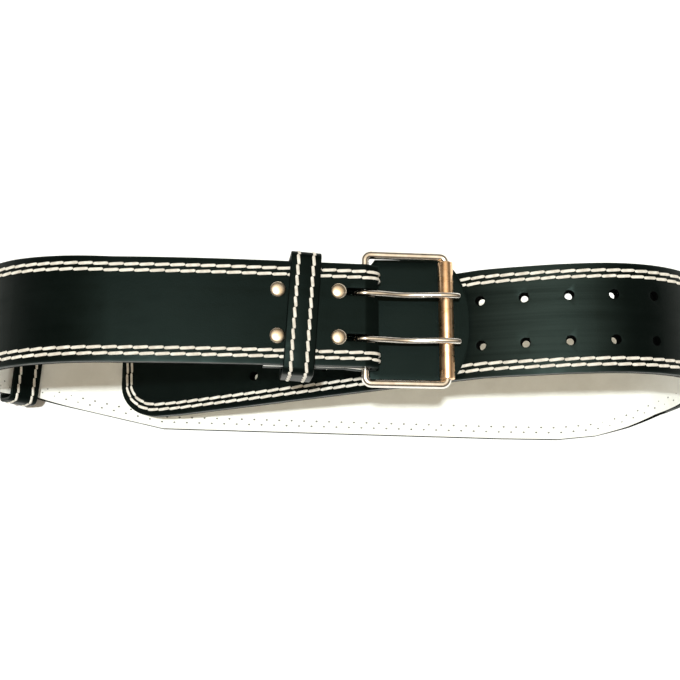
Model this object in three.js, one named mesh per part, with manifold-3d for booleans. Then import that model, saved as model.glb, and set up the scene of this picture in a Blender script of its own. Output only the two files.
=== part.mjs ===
// A weightlifting belt: a wide leather back that narrows to a strap, a roller buckle with two prongs,
// a plain flap under the buckle, two leather keepers, four rivets and eleven pairs of punched holes.
// Millimetres, +Z up. The belt lies on its back with the buckle on top and its ends overlapping.
// X runs along the loop's length, towards the holed end. Y runs across the belt's width.
// The origin is on the ground, under the middle of the belt.
import * as THREE from 'three';
import { mergeVertices } from 'three/addons/utils/BufferGeometryUtils.js';
import Module from 'manifold-3d';

const wasm = await Module();
wasm.setup();

// Leather
const LEATHER = 4;
const LINING = 1.5;
const GAP = 0.3;
const STRAP_WIDTH = 66;
const BACK_WIDTH = 101.6;

// Loop, seen from the front: the arcs' radii follow the leather's inner face
const BACK_RUN = 362;
const LEFT_LOW_RADIUS = 52;
const LEFT_HIGH_RADIUS = 105;
const RIGHT_RADIUS_STEP = 26.5;
const SAG_RUN = 90;
const SAG_ANGLE = 7;
const BUCKLE_RUN = 58;
const TIP_SAG_RADIUS = 165;
const TIP_RUN = 255;
const TIP_HEIGHT = 17.3;
const ARC_STEP = 7.5;
const RUN_STEP = 16;

// Tip
const TIP_CORNER_RUN = 30;
const TIP_CORNER_DROP = 24;
const CORNER_STEPS = 6;
const PUNCH_SIDES = 10;

// Punched holes, counted from the tip
const HOLE_COLUMNS = 11;
const HOLE_PITCH = 26;
const HOLE_START = 105.5;
const HOLE_DIAMETER = 6;

// The two rows of holes, prongs and rivets are this far apart across the belt
const ROW_SPACING = 27.5;

// Buckle
const BAR = 5;
const BAR_BEVEL = 1.46;
const BAR_CLEARANCE = 0.4;
const BAR_SPACING = 49;
const FRAME_HEIGHT = 83;
const FRAME_CORNER = 6;
const WINDOW_CORNER = 1;
const ROLLER_DIAMETER = 9;
const ROLLER_END_ROOM = 0.8;
const PRONG_WIRE = 3.6;
const PRONG_CLEARANCE = 0.5;
const PRONG_OVERHANG = 3;
const PRONG_DIP = 1.4;
const SLOT_WIDTH = 4.8;
const SLOT_REACH = 8.9;

// Fold round the buckle's bar, with the turned-back ply and the flap under it
const PLY_END = 60;
const PINCH_ANGLE = 45;
const FLAP = 3;
const FLAP_WIDTH = 71;
const FLAP_NECK_WIDTH = 60;
const FLAP_NECK_START = 4;
const FLAP_NECK_END = 14;
const FLAP_OVERHANG = 10;
const FLAP_END_RUN = 19;
const FLAP_END_FLAT = 3;

// Rivets
const RIVET_NEAR = 16.8;
const RIVET_FAR = 52.4;
const RIVET_HEAD = 8.2;
const RIVET_DOME = 2;
const RIVET_SHANK = 3.2;
const RIVET_CAP = 1;

// Keepers
const KEEPER_LEATHER = 2.6;
const KEEPER_CORNER = 5;
const KEEPER_FRONT_HALF_INSIDE = 34.4;
const KEEPER_FRONT_WIDTH = 18;
const KEEPER_FRONT_SLACK = 7.8;
const KEEPER_FRONT_FROM_BAR = 38.1;
const KEEPER_FRONT_TURN = -3.6;
const KEEPER_REAR_HALF_INSIDE = 36;
const KEEPER_REAR_WIDTH = 20;
const KEEPER_REAR_SLACK = 5;
const KEEPER_REAR_TURN = 5;
const KEEPER_REAR_AT = -0.382;

// The belt's outline. at runs from -1 at the buckle's bar through 0 at the back's middle to 1 at the
// tip. wide is a share of the step from strap to back. lean is the centre line's shift across the
// belt, as a share of the strap's width.
const OUTLINE = [
  { at: -1.2, wide: -0.13, lean: 0.02 },
  { at: -1, wide: -0.13, lean: 0.02 },
  { at: -0.742, wide: -0.12, lean: 0.037 },
  { at: -0.631, wide: -0.04, lean: 0.07 },
  { at: -0.456, wide: 0, lean: 0.107 },
  { at: -0.37, wide: 0, lean: 0.122 },
  { at: -0.21, wide: 1, lean: 0.07 },
  { at: 0, wide: 1, lean: 0.015 },
  { at: 0.163, wide: 1, lean: -0.038 },
  { at: 0.217, wide: 1, lean: -0.047 },
  { at: 0.254, wide: 0.86, lean: -0.046 },
  { at: 0.285, wide: 0.58, lean: -0.038 },
  { at: 0.315, wide: 0.22, lean: -0.03 },
  { at: 0.35, wide: 0.02, lean: -0.015 },
  { at: 0.37, wide: 0, lean: 0 },
  { at: 0.457, wide: 0, lean: 0.053 },
  { at: 0.548, wide: 0, lean: 0.027 },
  { at: 0.6, wide: 0, lean: 0.015 },
  { at: 0.64, wide: 0, lean: 0.015 },
  { at: 0.733, wide: 0, lean: -0.023 },
  { at: 0.771, wide: 0, lean: -0.043 },
  { at: 0.85, wide: 0, lean: -0.084 },
  { at: 0.936, wide: 0, lean: -0.127 },
  { at: 1, wide: 0, lean: -0.13 },
];

// Sizes that follow from the ones above
const liningDepth = GAP + LINING;
const foldRadius = BAR / 2 + BAR_CLEARANCE + liningDepth;
const foldOuter = foldRadius + LEATHER;
const plyDrop = 2 * liningDepth + GAP;
const pinchRadius = (2 * foldRadius - plyDrop) / (2 * (1 - Math.cos(rad(PINCH_ANGLE))));
const pinchRun = 2 * pinchRadius * Math.sin(rad(PINCH_ANGLE));
const stackBelow = plyDrop + LEATHER + GAP + FLAP;
const flapRise = Math.atan((foldOuter - ROLLER_DIAMETER / 2) / BAR_SPACING);
const slotRadius = Math.hypot(foldOuter, SLOT_REACH);

const mat = {
  leather: paint('#141c1a', 0.42, 0),
  lining: paint('#e9eeea', 0.95, 0),
  nickel: paint('#e8dcc8', 0.22, 1),
  roller: paint('#d9b48a', 0.25, 1),
};

function rad(degrees) {
  return (degrees * Math.PI) / 180;
}

function paint(colour, roughness, metalness) {
  return new THREE.MeshStandardMaterial({ color: colour, roughness, metalness });
}

// A closed mesh with shared vertices, as booleans and mesh edits need it
function welded(geometry) {
  const plain = geometry.clone();
  plain.deleteAttribute('normal');
  plain.deleteAttribute('uv');
  return mergeVertices(plain, 1e-4);
}

function toSolid(geometry) {
  const shell = welded(geometry);
  return new wasm.Manifold(new wasm.Mesh({
    numProp: 3,
    vertProperties: new Float32Array(shell.attributes.position.array),
    triVerts: new Uint32Array(shell.index.array),
  }));
}

function toGeometry(solid) {
  const mesh = solid.getMesh();
  const geometry = new THREE.BufferGeometry();
  geometry.setAttribute('position', new THREE.BufferAttribute(mesh.vertProperties, 3));
  geometry.setIndex(new THREE.BufferAttribute(mesh.triVerts, 1));
  geometry.computeVertexNormals();
  return geometry;
}

function cut(geometry, tools) {
  let solid = toSolid(geometry);
  for (const tool of tools) {
    solid = solid.subtract(toSolid(tool));
  }
  return toGeometry(solid);
}

function piece(name, geometry, material) {
  const mesh = new THREE.Mesh(geometry, material);
  mesh.name = name;
  return mesh;
}

// Walks a chain of straight runs and arcs. Each row has a length and a turn in degrees.
// side is 1 where positive turns go counterclockwise, and -1 where they go clockwise.
function walk(start, rows, side) {
  const stations = [{ ...start }];
  for (const { run, turn } of rows) {
    const steps = Math.max(1, Math.ceil(Math.abs(turn) / ARC_STEP), Math.ceil(run / RUN_STEP));
    for (let i = 0; i < steps; i += 1) {
      const last = stations[stations.length - 1];
      const bend = (side * rad(turn)) / steps;
      const chord = turn === 0 ? run / steps : (run / steps) * (Math.sin(bend / 2) / (bend / 2));
      const heading = last.heading + bend / 2;
      stations.push({
        x: last.x + chord * Math.cos(heading),
        z: last.z + chord * Math.sin(heading),
        heading: last.heading + bend,
        along: last.along + run / steps,
      });
    }
  }
  return stations;
}

function arc(radius, turn) {
  return { run: radius * Math.abs(rad(turn)), turn };
}

// From the back's middle leftwards, up and over to the buckle, round its bar and back
const leftRows = [
  { run: BACK_RUN / 2, turn: 0 },
  arc(LEFT_LOW_RADIUS, 90),
  arc(LEFT_HIGH_RADIUS, 90),
  { run: SAG_RUN, turn: SAG_ANGLE },
  { run: BUCKLE_RUN, turn: 0 },
];
const foldRows = [
  arc(foldRadius, 180),
  arc(pinchRadius, PINCH_ANGLE),
  arc(pinchRadius, -PINCH_ANGLE),
  { run: PLY_END - pinchRun, turn: 0 },
];
const ground = { x: 0, z: LEATHER, along: 0 };
const leftToBar = walk({ ...ground, heading: Math.PI }, leftRows, -1);
const barStation = leftToBar[leftToBar.length - 1];
const leftWalk = walk({ ...ground, heading: Math.PI }, [...leftRows, ...foldRows], -1);
const leftRun = barStation.along;

// The bar lies one fold radius under the strap, and the flap leaves the fold under the bar
const bar = {
  x: barStation.x + foldRadius * Math.sin(barStation.heading),
  z: barStation.z - foldRadius * Math.cos(barStation.heading),
};
const flapHeading = barStation.heading + flapRise;
const flapReach = BAR_SPACING + ROLLER_DIAMETER / 2 + FLAP_OVERHANG;
const flapDepth = LEATHER + GAP + FLAP;
const flapEnd = {
  x: bar.x + foldRadius * Math.sin(barStation.heading)
    + flapReach * Math.cos(flapHeading) + flapDepth * Math.sin(flapHeading),
  z: bar.z - foldRadius * Math.cos(barStation.heading)
    + flapReach * Math.sin(flapHeading) - flapDepth * Math.cos(flapHeading),
};

// From the back's middle rightwards: the holed strap is as high as lets the flap's end rest on it
const crestX = BACK_RUN / 2 - RIGHT_RADIUS_STEP;
const crest = flapEnd.z - GAP + TIP_SAG_RADIUS
  - Math.sqrt((TIP_SAG_RADIUS + LEATHER) ** 2 - (crestX - flapEnd.x) ** 2);
const rightHeight = crest - LEATHER;
const rightLowRadius = (rightHeight - RIGHT_RADIUS_STEP) / 2;
const rightHighRadius = rightLowRadius + RIGHT_RADIUS_STEP;
const tipDrop = crest - TIP_HEIGHT;
const tipAngle = Math.atan2(TIP_SAG_RADIUS, TIP_RUN)
  + Math.asin((tipDrop - TIP_SAG_RADIUS) / Math.hypot(TIP_RUN, TIP_SAG_RADIUS));
const rightRows = [
  { run: BACK_RUN / 2, turn: 0 },
  arc(rightLowRadius, 90),
  arc(rightHighRadius, 90),
  arc(TIP_SAG_RADIUS, (tipAngle * 180) / Math.PI),
  { run: TIP_RUN, turn: 0 },
];
const rightWalk = walk({ ...ground, heading: 0 }, rightRows, 1);
const rightRun = rightWalk[rightWalk.length - 1].along;

// One path from the turned-back ply's end to the tip, with along at 0 in the middle of the back
const beltPath = [
  ...leftWalk.slice(1).reverse().map((p) => ({ ...p, heading: p.heading - Math.PI, along: -p.along })),
  ...rightWalk,
];

// A row's value at a station, straight between the outline's rows
function outlineAt(along, column) {
  const at = along < 0 ? along / leftRun : along / rightRun;
  const next = OUTLINE.findIndex((row) => row.at >= at);
  if (next < 1) return next === 0 ? OUTLINE[0][column] : OUTLINE[OUTLINE.length - 1][column];
  const [a, b] = [OUTLINE[next - 1], OUTLINE[next]];
  return THREE.MathUtils.mapLinear(at, a.at, b.at, a[column], b[column]);
}

function leanAt(along) {
  return outlineAt(along, 'lean') * STRAP_WIDTH;
}

// How much a rounded end draws in the edge, at a distance from that end
function cornerDrop(distance, run, drop) {
  if (distance >= run) return 0;
  return drop * (1 - Math.sqrt(1 - (1 - distance / run) ** 2));
}

function beltHalfWidth(along) {
  const half = (STRAP_WIDTH + outlineAt(along, 'wide') * (BACK_WIDTH - STRAP_WIDTH)) / 2;
  return half - cornerDrop(rightRun - along, TIP_CORNER_RUN, TIP_CORNER_DROP);
}

// The station at a place along a path, with straight steps between its stations
function stationAt(path, along) {
  const next = Math.max(1, path.findIndex((p) => p.along >= along));
  const [a, b] = [path[next - 1], path[next]];
  const t = (along - a.along) / (b.along - a.along);
  return {
    x: THREE.MathUtils.lerp(a.x, b.x, t),
    z: THREE.MathUtils.lerp(a.z, b.z, t),
    heading: THREE.MathUtils.lerp(a.heading, b.heading, t),
    along,
  };
}

// Adds the stations that a rounded end needs, closer together towards the end
function withRoundEnd(path, end, run) {
  const kept = path.filter((p) => p.along < end - run - 1);
  for (let i = 0; i <= CORNER_STEPS; i += 1) {
    const angle = (Math.PI / 2) * (i / CORNER_STEPS);
    kept.push(stationAt(path, end - run * (1 - Math.sin(angle))));
  }
  return kept;
}

// A strip of leather cut to a width, then bent along a path. inner and outer are the distances of
// its two faces from the path, outwards from the loop.
function strip(path, halfWidth, lean, inner, outer) {
  const geometry = welded(new THREE.BoxGeometry(1, 1, 1, path.length - 1, 1, 1));
  const corners = geometry.attributes.position;
  for (let i = 0; i < corners.count; i += 1) {
    const station = path[Math.round((0.5 - corners.getX(i)) * (path.length - 1))];
    const across = lean(station.along) + Math.sign(corners.getY(i)) * halfWidth(station.along);
    const out = corners.getZ(i) > 0 ? outer : inner;
    corners.setXYZ(
      i,
      station.x + out * Math.sin(station.heading),
      across,
      station.z - out * Math.cos(station.heading),
    );
  }
  return geometry;
}

// Local axes at a station: X back along the belt, Y across it, Z out of the loop
function placeAt(station, across) {
  const back = new THREE.Vector3(-Math.cos(station.heading), 0, -Math.sin(station.heading));
  const out = new THREE.Vector3(Math.sin(station.heading), 0, -Math.cos(station.heading));
  const matrix = new THREE.Matrix4().makeBasis(back, new THREE.Vector3(0, 1, 0), out);
  return matrix.setPosition(station.x, across, station.z);
}

// A pair of cylinders along the local Z axis, through whatever lies within their length of a station
function punches(station, across, length, diameter) {
  return [-0.5, 0.5].map((share) => {
    const punch = new THREE.CylinderGeometry(diameter / 2, diameter / 2, length, PUNCH_SIDES);
    punch.rotateX(Math.PI / 2);
    return punch.applyMatrix4(placeAt(station, across + share * ROW_SPACING));
  });
}

const buckleAcross = leanAt(-leftRun);

function holePunches() {
  const length = 4 * LEATHER;
  const tools = [];
  for (let i = 0; i < HOLE_COLUMNS; i += 1) {
    const along = rightRun - HOLE_START - i * HOLE_PITCH;
    tools.push(...punches(stationAt(beltPath, along), leanAt(along), length, HOLE_DIAMETER));
  }
  return tools;
}

function rivetStation(fromBar) {
  return stationAt(beltPath, -leftRun + fromBar);
}

function rivetBores() {
  const bore = RIVET_SHANK + 2 * GAP;
  return [RIVET_NEAR, RIVET_FAR].flatMap((fromBar) => {
    return punches(rivetStation(fromBar), buckleAcross, 3 * stackBelow, bore);
  });
}

// The prongs' slots run over the fold, round the bar
function prongSlots() {
  return [-0.5, 0.5].map((share) => {
    const slot = new THREE.CylinderGeometry(slotRadius, slotRadius, SLOT_WIDTH, 24);
    return slot.translate(bar.x, buckleAcross + share * ROW_SPACING, bar.z);
  });
}

function beltLeather() {
  const path = withRoundEnd(beltPath, rightRun, TIP_CORNER_RUN);
  const body = strip(path, beltHalfWidth, leanAt, 0, LEATHER);
  return piece('belt_leather', cut(body, [...holePunches(), ...rivetBores(), ...prongSlots()]), mat.leather);
}

function beltLining() {
  const path = withRoundEnd(beltPath, rightRun, TIP_CORNER_RUN);
  const body = strip(path, beltHalfWidth, leanAt, -liningDepth, -GAP);
  return piece('belt_lining', cut(body, [...holePunches(), ...rivetBores(), ...prongSlots()]), mat.lining);
}

// The flap lies under the turned-back ply and goes on under the buckle, up to its rounded end
function buckleFlap() {
  const plyPath = beltPath.filter((p) => p.along <= -leftRun - foldRadius * Math.PI + 1e-6);
  const leaving = plyPath[plyPath.length - 1];
  const reach = { ...leaving, heading: leaving.heading + flapRise };
  const out = LEATHER + GAP;
  const path = [...plyPath, ...walk(reach, [{ run: flapReach, turn: 0 }], 1).slice(1)];
  const end = path[path.length - 1].along;
  const halfWidth = (along) => {
    const past = along - leaving.along;
    const share = (past - FLAP_NECK_START) / (FLAP_NECK_END - FLAP_NECK_START);
    const widening = THREE.MathUtils.clamp(share, 0, 1);
    const half = THREE.MathUtils.lerp(FLAP_NECK_WIDTH, FLAP_WIDTH, widening) / 2;
    return half - cornerDrop(end - along, FLAP_END_RUN, FLAP_WIDTH / 2 - FLAP_END_FLAT);
  };
  const body = strip(withRoundEnd(path, end, FLAP_END_RUN), halfWidth, () => buckleAcross, out, out + FLAP);
  return piece('buckle_flap', cut(body, rivetBores()), mat.leather);
}

function roundedRectangle(shape, length, height, corner) {
  const [x, y] = [length / 2, height / 2];
  shape.moveTo(-x + corner, -y);
  shape.lineTo(x - corner, -y);
  shape.absarc(x - corner, -y + corner, corner, -Math.PI / 2, 0, false);
  shape.lineTo(x, y - corner);
  shape.absarc(x - corner, y - corner, corner, 0, Math.PI / 2, false);
  shape.lineTo(-x + corner, y);
  shape.absarc(-x + corner, y - corner, corner, Math.PI / 2, Math.PI, false);
  shape.lineTo(-x, -y + corner);
  shape.absarc(-x + corner, -y + corner, corner, Math.PI, 1.5 * Math.PI, false);
  return shape;
}

// A flat ring with bevelled edges; its left bar is centred on the local origin
function buckleFrame() {
  const inset = BAR_BEVEL;
  const outline = roundedRectangle(
    new THREE.Shape(), BAR_SPACING + BAR - 2 * inset, FRAME_HEIGHT - 2 * inset, FRAME_CORNER - inset,
  );
  const window = roundedRectangle(
    new THREE.Path(),
    BAR_SPACING - BAR + 2 * inset,
    FRAME_HEIGHT - 2 * BAR + 2 * inset,
    WINDOW_CORNER + inset,
  );
  outline.holes.push(window);
  const geometry = new THREE.ExtrudeGeometry(outline, {
    depth: BAR - 2 * BAR_BEVEL,
    bevelThickness: BAR_BEVEL,
    bevelSize: BAR_BEVEL,
    bevelSegments: 1,
    curveSegments: 5,
  });
  geometry.translate(BAR_SPACING / 2, 0, BAR_BEVEL - BAR / 2);
  return piece('buckle_frame', welded(geometry), mat.nickel);
}

function buckleRoller() {
  const length = FRAME_HEIGHT - 2 * BAR - 2 * ROLLER_END_ROOM;
  const [inner, outer] = [BAR / 2 + BAR_CLEARANCE, ROLLER_DIAMETER / 2];
  const edge = 0.5;
  const profile = [
    new THREE.Vector2(inner, -length / 2),
    new THREE.Vector2(outer - edge, -length / 2),
    new THREE.Vector2(outer, -length / 2 + edge),
    new THREE.Vector2(outer, length / 2 - edge),
    new THREE.Vector2(outer - edge, length / 2),
    new THREE.Vector2(inner, length / 2),
    new THREE.Vector2(inner, -length / 2),
  ];
  const roller = piece('buckle_roller', welded(new THREE.LatheGeometry(profile, 20)), mat.roller);
  roller.position.x = BAR_SPACING;
  return roller;
}

// A ring round the bar and a wire that dips, rises over the roller and ends just past it
function prong(name, share) {
  const wire = PRONG_WIRE / 2;
  const ringRadius = BAR / 2 + PRONG_CLEARANCE + wire;
  const top = ROLLER_DIAMETER / 2 + GAP + wire;
  const over = BAR_SPACING + ROLLER_DIAMETER / 2;
  const ring = new THREE.TorusGeometry(ringRadius, wire, 8, 20);
  ring.rotateX(Math.PI / 2);
  const line = new THREE.CatmullRomCurve3([
    new THREE.Vector3(0, 0, ringRadius),
    new THREE.Vector3(BAR_SPACING * 0.2, 0, ringRadius),
    new THREE.Vector3(BAR_SPACING * 0.5, 0, ringRadius - PRONG_DIP),
    new THREE.Vector3(BAR_SPACING * 0.85, 0, top - PRONG_DIP / 3),
    new THREE.Vector3(BAR_SPACING, 0, top),
    new THREE.Vector3(over, 0, top - PRONG_DIP / 3),
    new THREE.Vector3(over + PRONG_OVERHANG, 0, top - PRONG_DIP),
  ]);
  const section = new THREE.Shape();
  section.absarc(0, 0, wire, 0, 2 * Math.PI, false);
  const stem = new THREE.ExtrudeGeometry(section, { extrudePath: line, steps: 18, curveSegments: 5 });
  const geometry = toGeometry(toSolid(ring).add(toSolid(stem)));
  geometry.translate(0, share * ROW_SPACING, 0);
  return piece(name, geometry, mat.nickel);
}

function rivet(name, fromBar, share) {
  const [head, shank] = [RIVET_HEAD / 2, RIVET_SHANK / 2];
  const seat = LEATHER + GAP;
  const under = -stackBelow - GAP;
  const profile = [new THREE.Vector2(0, under - RIVET_CAP), new THREE.Vector2(head, under - RIVET_CAP)];
  profile.push(new THREE.Vector2(head, under), new THREE.Vector2(shank, under));
  profile.push(new THREE.Vector2(shank, seat), new THREE.Vector2(head, seat));
  for (const angle of [25, 50, 72, 90]) {
    const x = angle === 90 ? 0 : head * Math.cos(rad(angle));
    profile.push(new THREE.Vector2(x, seat + RIVET_DOME * Math.sin(rad(angle))));
  }
  const geometry = new THREE.LatheGeometry(profile, 14);
  geometry.rotateX(Math.PI / 2);
  const mesh = piece(name, welded(geometry), mat.nickel);
  mesh.applyMatrix4(placeAt(rivetStation(fromBar), buckleAcross + share * ROW_SPACING));
  return mesh;
}

// A closed leather loop round the belt. It rests on one face of what it holds, with slack on the other.
function keeper(name, station, across, size) {
  const height = size.high - size.low;
  const wall = KEEPER_LEATHER;
  const length = 2 * size.halfInside;
  const outline = roundedRectangle(new THREE.Shape(), length + 2 * wall, height + 2 * wall, KEEPER_CORNER);
  outline.holes.push(roundedRectangle(new THREE.Path(), length, height, KEEPER_CORNER - wall));
  const geometry = new THREE.ExtrudeGeometry(outline, {
    depth: size.width, bevelEnabled: false, curveSegments: 5,
  });
  geometry.translate(0, (size.high + size.low) / 2, -size.width / 2);
  geometry.rotateX(Math.PI / 2);
  geometry.rotateZ(Math.PI / 2 + rad(size.turn));
  const mesh = piece(name, welded(geometry), mat.leather);
  mesh.applyMatrix4(placeAt(station, across));
  return mesh;
}

function keeperFront() {
  return keeper('keeper_front', rivetStation(KEEPER_FRONT_FROM_BAR), buckleAcross, {
    low: -stackBelow - KEEPER_FRONT_SLACK,
    high: LEATHER + GAP,
    halfInside: KEEPER_FRONT_HALF_INSIDE,
    width: KEEPER_FRONT_WIDTH,
    turn: KEEPER_FRONT_TURN,
  });
}

// The belt bends inside this keeper, so the keeper's flat side stands off by the bend's rise
function keeperRear() {
  const along = KEEPER_REAR_AT * leftRun;
  const faceRadius = LEFT_LOW_RADIUS - liningDepth;
  const reach = KEEPER_REAR_WIDTH / 2 + KEEPER_REAR_HALF_INSIDE * Math.sin(rad(KEEPER_REAR_TURN));
  const bendRise = faceRadius - Math.sqrt(faceRadius ** 2 - reach ** 2);
  return keeper('keeper_rear', stationAt(beltPath, along), leanAt(along), {
    low: -liningDepth - GAP - bendRise,
    high: LEATHER + KEEPER_REAR_SLACK,
    halfInside: KEEPER_REAR_HALF_INSIDE,
    width: KEEPER_REAR_WIDTH,
    turn: KEEPER_REAR_TURN,
  });
}

function buckle() {
  const group = new THREE.Group();
  group.add(buckleFrame(), buckleRoller(), prong('prong_upper', 0.5), prong('prong_lower', -0.5));
  group.applyMatrix4(placeAt({ ...bar, heading: barStation.heading + Math.PI }, buckleAcross));
  return group;
}

const belt = new THREE.Group();
belt.add(beltLeather(), beltLining(), buckleFlap(), buckle(), keeperFront(), keeperRear());
belt.add(rivet('rivet_upper_outer', RIVET_FAR, 0.5), rivet('rivet_lower_outer', RIVET_FAR, -0.5));
belt.add(rivet('rivet_upper_inner', RIVET_NEAR, 0.5), rivet('rivet_lower_inner', RIVET_NEAR, -0.5));

// The origin goes under the middle of the whole belt
const box = new THREE.Box3().setFromObject(belt, true);
const middle = box.getCenter(new THREE.Vector3());
belt.position.set(-middle.x, -middle.y, -box.min.z);

export default belt;
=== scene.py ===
"""The looks of a weightlifting belt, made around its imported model. Metres, +Z up.

The belt is cut, thinned, punched and stitched flat, with its outer face down, and then bent round
the loop in which it lies. The buckle, the rivets and the keepers are made beside it in their own
small frames and carried to their places.
"""

from math import asin, atan, atan2, ceil, cos, hypot, pi, radians, sin, sqrt

import bpy
from mathutils import Matrix, Vector


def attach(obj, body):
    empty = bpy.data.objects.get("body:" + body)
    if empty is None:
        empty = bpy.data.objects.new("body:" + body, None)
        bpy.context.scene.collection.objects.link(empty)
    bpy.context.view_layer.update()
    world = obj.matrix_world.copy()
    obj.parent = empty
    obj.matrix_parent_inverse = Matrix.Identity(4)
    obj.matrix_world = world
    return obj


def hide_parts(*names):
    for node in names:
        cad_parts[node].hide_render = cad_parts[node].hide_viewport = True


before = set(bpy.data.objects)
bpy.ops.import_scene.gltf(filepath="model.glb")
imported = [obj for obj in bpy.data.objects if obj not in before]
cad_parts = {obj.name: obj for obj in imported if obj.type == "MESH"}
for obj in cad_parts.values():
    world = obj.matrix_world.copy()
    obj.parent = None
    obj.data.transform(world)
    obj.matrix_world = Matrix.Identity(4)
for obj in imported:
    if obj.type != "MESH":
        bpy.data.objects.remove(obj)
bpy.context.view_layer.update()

# Leather
LEATHER = 0.004
LINING = 0.0015
GAP = 0.0003
LINING_GAP = 0.0001
STRAP_WIDTH = 0.066
BACK_WIDTH = 0.1016
EDGE_ROUNDING = 0.0011
LINING_ROUNDING = 0.0003

# Meshes. A face points one way where that part of its normal passes FACING, and is the lining's
# inner face where it passes INNER_FACING. Angles are in degrees.
STRAP_STEP = 0.006
FLAP_STEP = 0.003
END_COLUMNS = 14
ROWS_ACROSS = 12
FACING = 0.9
INNER_FACING = 0.95
ROUNDING_STEPS = 3
ROUNDED_FROM = 50
SMOOTH_TO = 35
THREAD_SMOOTH_TO = 60
CORNER_STEPS = 8
SAME_PLACE = 1e-6

# Loop, seen from the front
BACK_RUN = 0.362
LEFT_LOW_RADIUS = 0.052
LEFT_HIGH_RADIUS = 0.105
RIGHT_RADIUS_STEP = 0.0265
STEP_TURN = 1.5
STEP_RUN = 0.012
SAG_RUN = 0.09
SAG_ANGLE = 7
BUCKLE_RUN = 0.058
TIP_SAG_RADIUS = 0.165
TIP_RUN = 0.255
TIP_HEIGHT = 0.0173
ORIGIN_SHIFT = Vector((-0.00183, -0.000805, 0))

# Tip
TIP_CORNER_RUN = 0.03
TIP_CORNER_DROP = 0.024

# Punched holes, counted from the tip. SIDES names the two rows, with their shares of the spacing.
HOLE_COLUMNS = 11
HOLE_PITCH = 0.026
HOLE_START = 0.1055
HOLE_DIAMETER = 0.006
LINED_HOLE = 0.0045
ROW_SPACING = 0.0275
SIDES = (("upper", 0.5), ("lower", -0.5))
PUNCH_LENGTH = 0.016
HOLE_FACETS = 20
SLOT_FACETS = 24

# The stretch painted with a sheen, a lighter leather colour, its middle counted in holes from the tip
SHEEN_COLUMN = 7.3
SHEEN_REACH = 0.056

# Buckle
BAR = 0.005
BAR_CLEARANCE = 0.0004
BAR_SPACING = 0.049
FRAME_HEIGHT = 0.083
FRAME_CORNER = 0.006
ROLLER_DIAMETER = 0.009
ROLLER_END_ROOM = 0.0008
ROLLER_FACETS = 48
ROLLER_ROUNDING = 0.0005
WIRE_ROUNDNESS = 5
PRONG_WIRE = 0.0036
PRONG_CLEARANCE = 0.0005
PRONG_OVERHANG = 0.003
PRONG_DIP = 0.0014
PRONG_STEPS = 8

# A prong's eye, by how far its wire has turned round the bar, in degrees
EYE_START = 20
EYE_WIDENS = 90
EYE_WIDE = 180
EYE_END = 270
EYE_STEPS = 30
EYE_RISE = 0.0018

# Where a prong leaves its eye, is lowest and has risen again, as shares of the bars' spacing, and
# how its last points thin, as shares of its radius
PRONG_LEAVES = 0.2
PRONG_LOWEST = 0.5
PRONG_RISEN = 0.85
PRONG_POINT = (0.98, 0.9, 0.72, 0.4)

# Slots for the prongs
SLOT_WIDTH = 0.0048
SLOT_REACH = 0.0089
SLOT_TRIM = 0.002

# Fold and flap
PLY_END = 0.06
PINCH_ANGLE = 45
FLAP = 0.003
FLAP_WIDTH = 0.077
FLAP_NECK_WIDTH = 0.06
FLAP_NECK_START = 0.001
FLAP_NECK_END = 0.007
FLAP_OVERHANG = 0.01
FLAP_END_RUN = 0.019
FLAP_END_FLAT = 0.003

# Rivets. The head's rim is a share of its dome's height.
RIVET_NEAR = 0.0168
RIVET_FAR = 0.0524
RIVET_HEAD = 0.0094
RIVET_DOME = 0.002
RIVET_RIM = 0.2
RIVET_SHANK = 0.0032
RIVET_CAP = 0.001
RIVET_ROUNDING = 0.0004
RIVET_FACETS = 32
SHANK_FACETS = 16

# Keepers
KEEPER_LEATHER = 0.0026
KEEPER_CORNER = 0.005
KEEPER_CORNER_STEPS = 5
KEEPER_ROUNDING = 0.0007
KEEPER_STITCH_INSET = 0.0045
FRONT_KEEPER = {
    "half": 0.0344, "width": 0.018, "slack": 0.0078, "from_bar": 0.0381, "turn": -3.6,
}
REAR_KEEPER = {"half": 0.036, "width": 0.02, "slack": 0.005, "at": -0.382, "turn": 5}

# Stitching. Where the belt lies on the floor, its thread is pressed in till it barely stands out.
STITCH_PITCH = 0.0088
STITCH_LENGTH = 0.0086
STITCH_SLANT = 4
STITCH_WIDTH = 0.0018
STITCH_HEIGHT = 0.0011
STITCH_END_SHARE = 0.11
STITCH_END_WIDTH = 0.55
STITCH_PARTS = 4
STITCH_FACETS = 6
STITCH_INSETS = (0.0045, 0.0081)
PRESSED_RISE = 0.0002
PRESSED_FADE = 0.02
KEEPER_STITCH_PITCH = 0.0064
KEEPER_STITCH_LENGTH = 0.0063
KEEPER_STITCH_SLANT = 8
NEEDLE_MARK = (0.0008, 0.0006, 0.0001)
MARK_FACETS = 8

# Patterns. A cloudy one is drawn out to its full contrast between the two values of CLOUDS.
CLOUDS = (0.3, 0.7)
LEATHER_STREAKS = (5, 220, 5)
SCUFF_ROUGHNESS = 0.1

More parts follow.
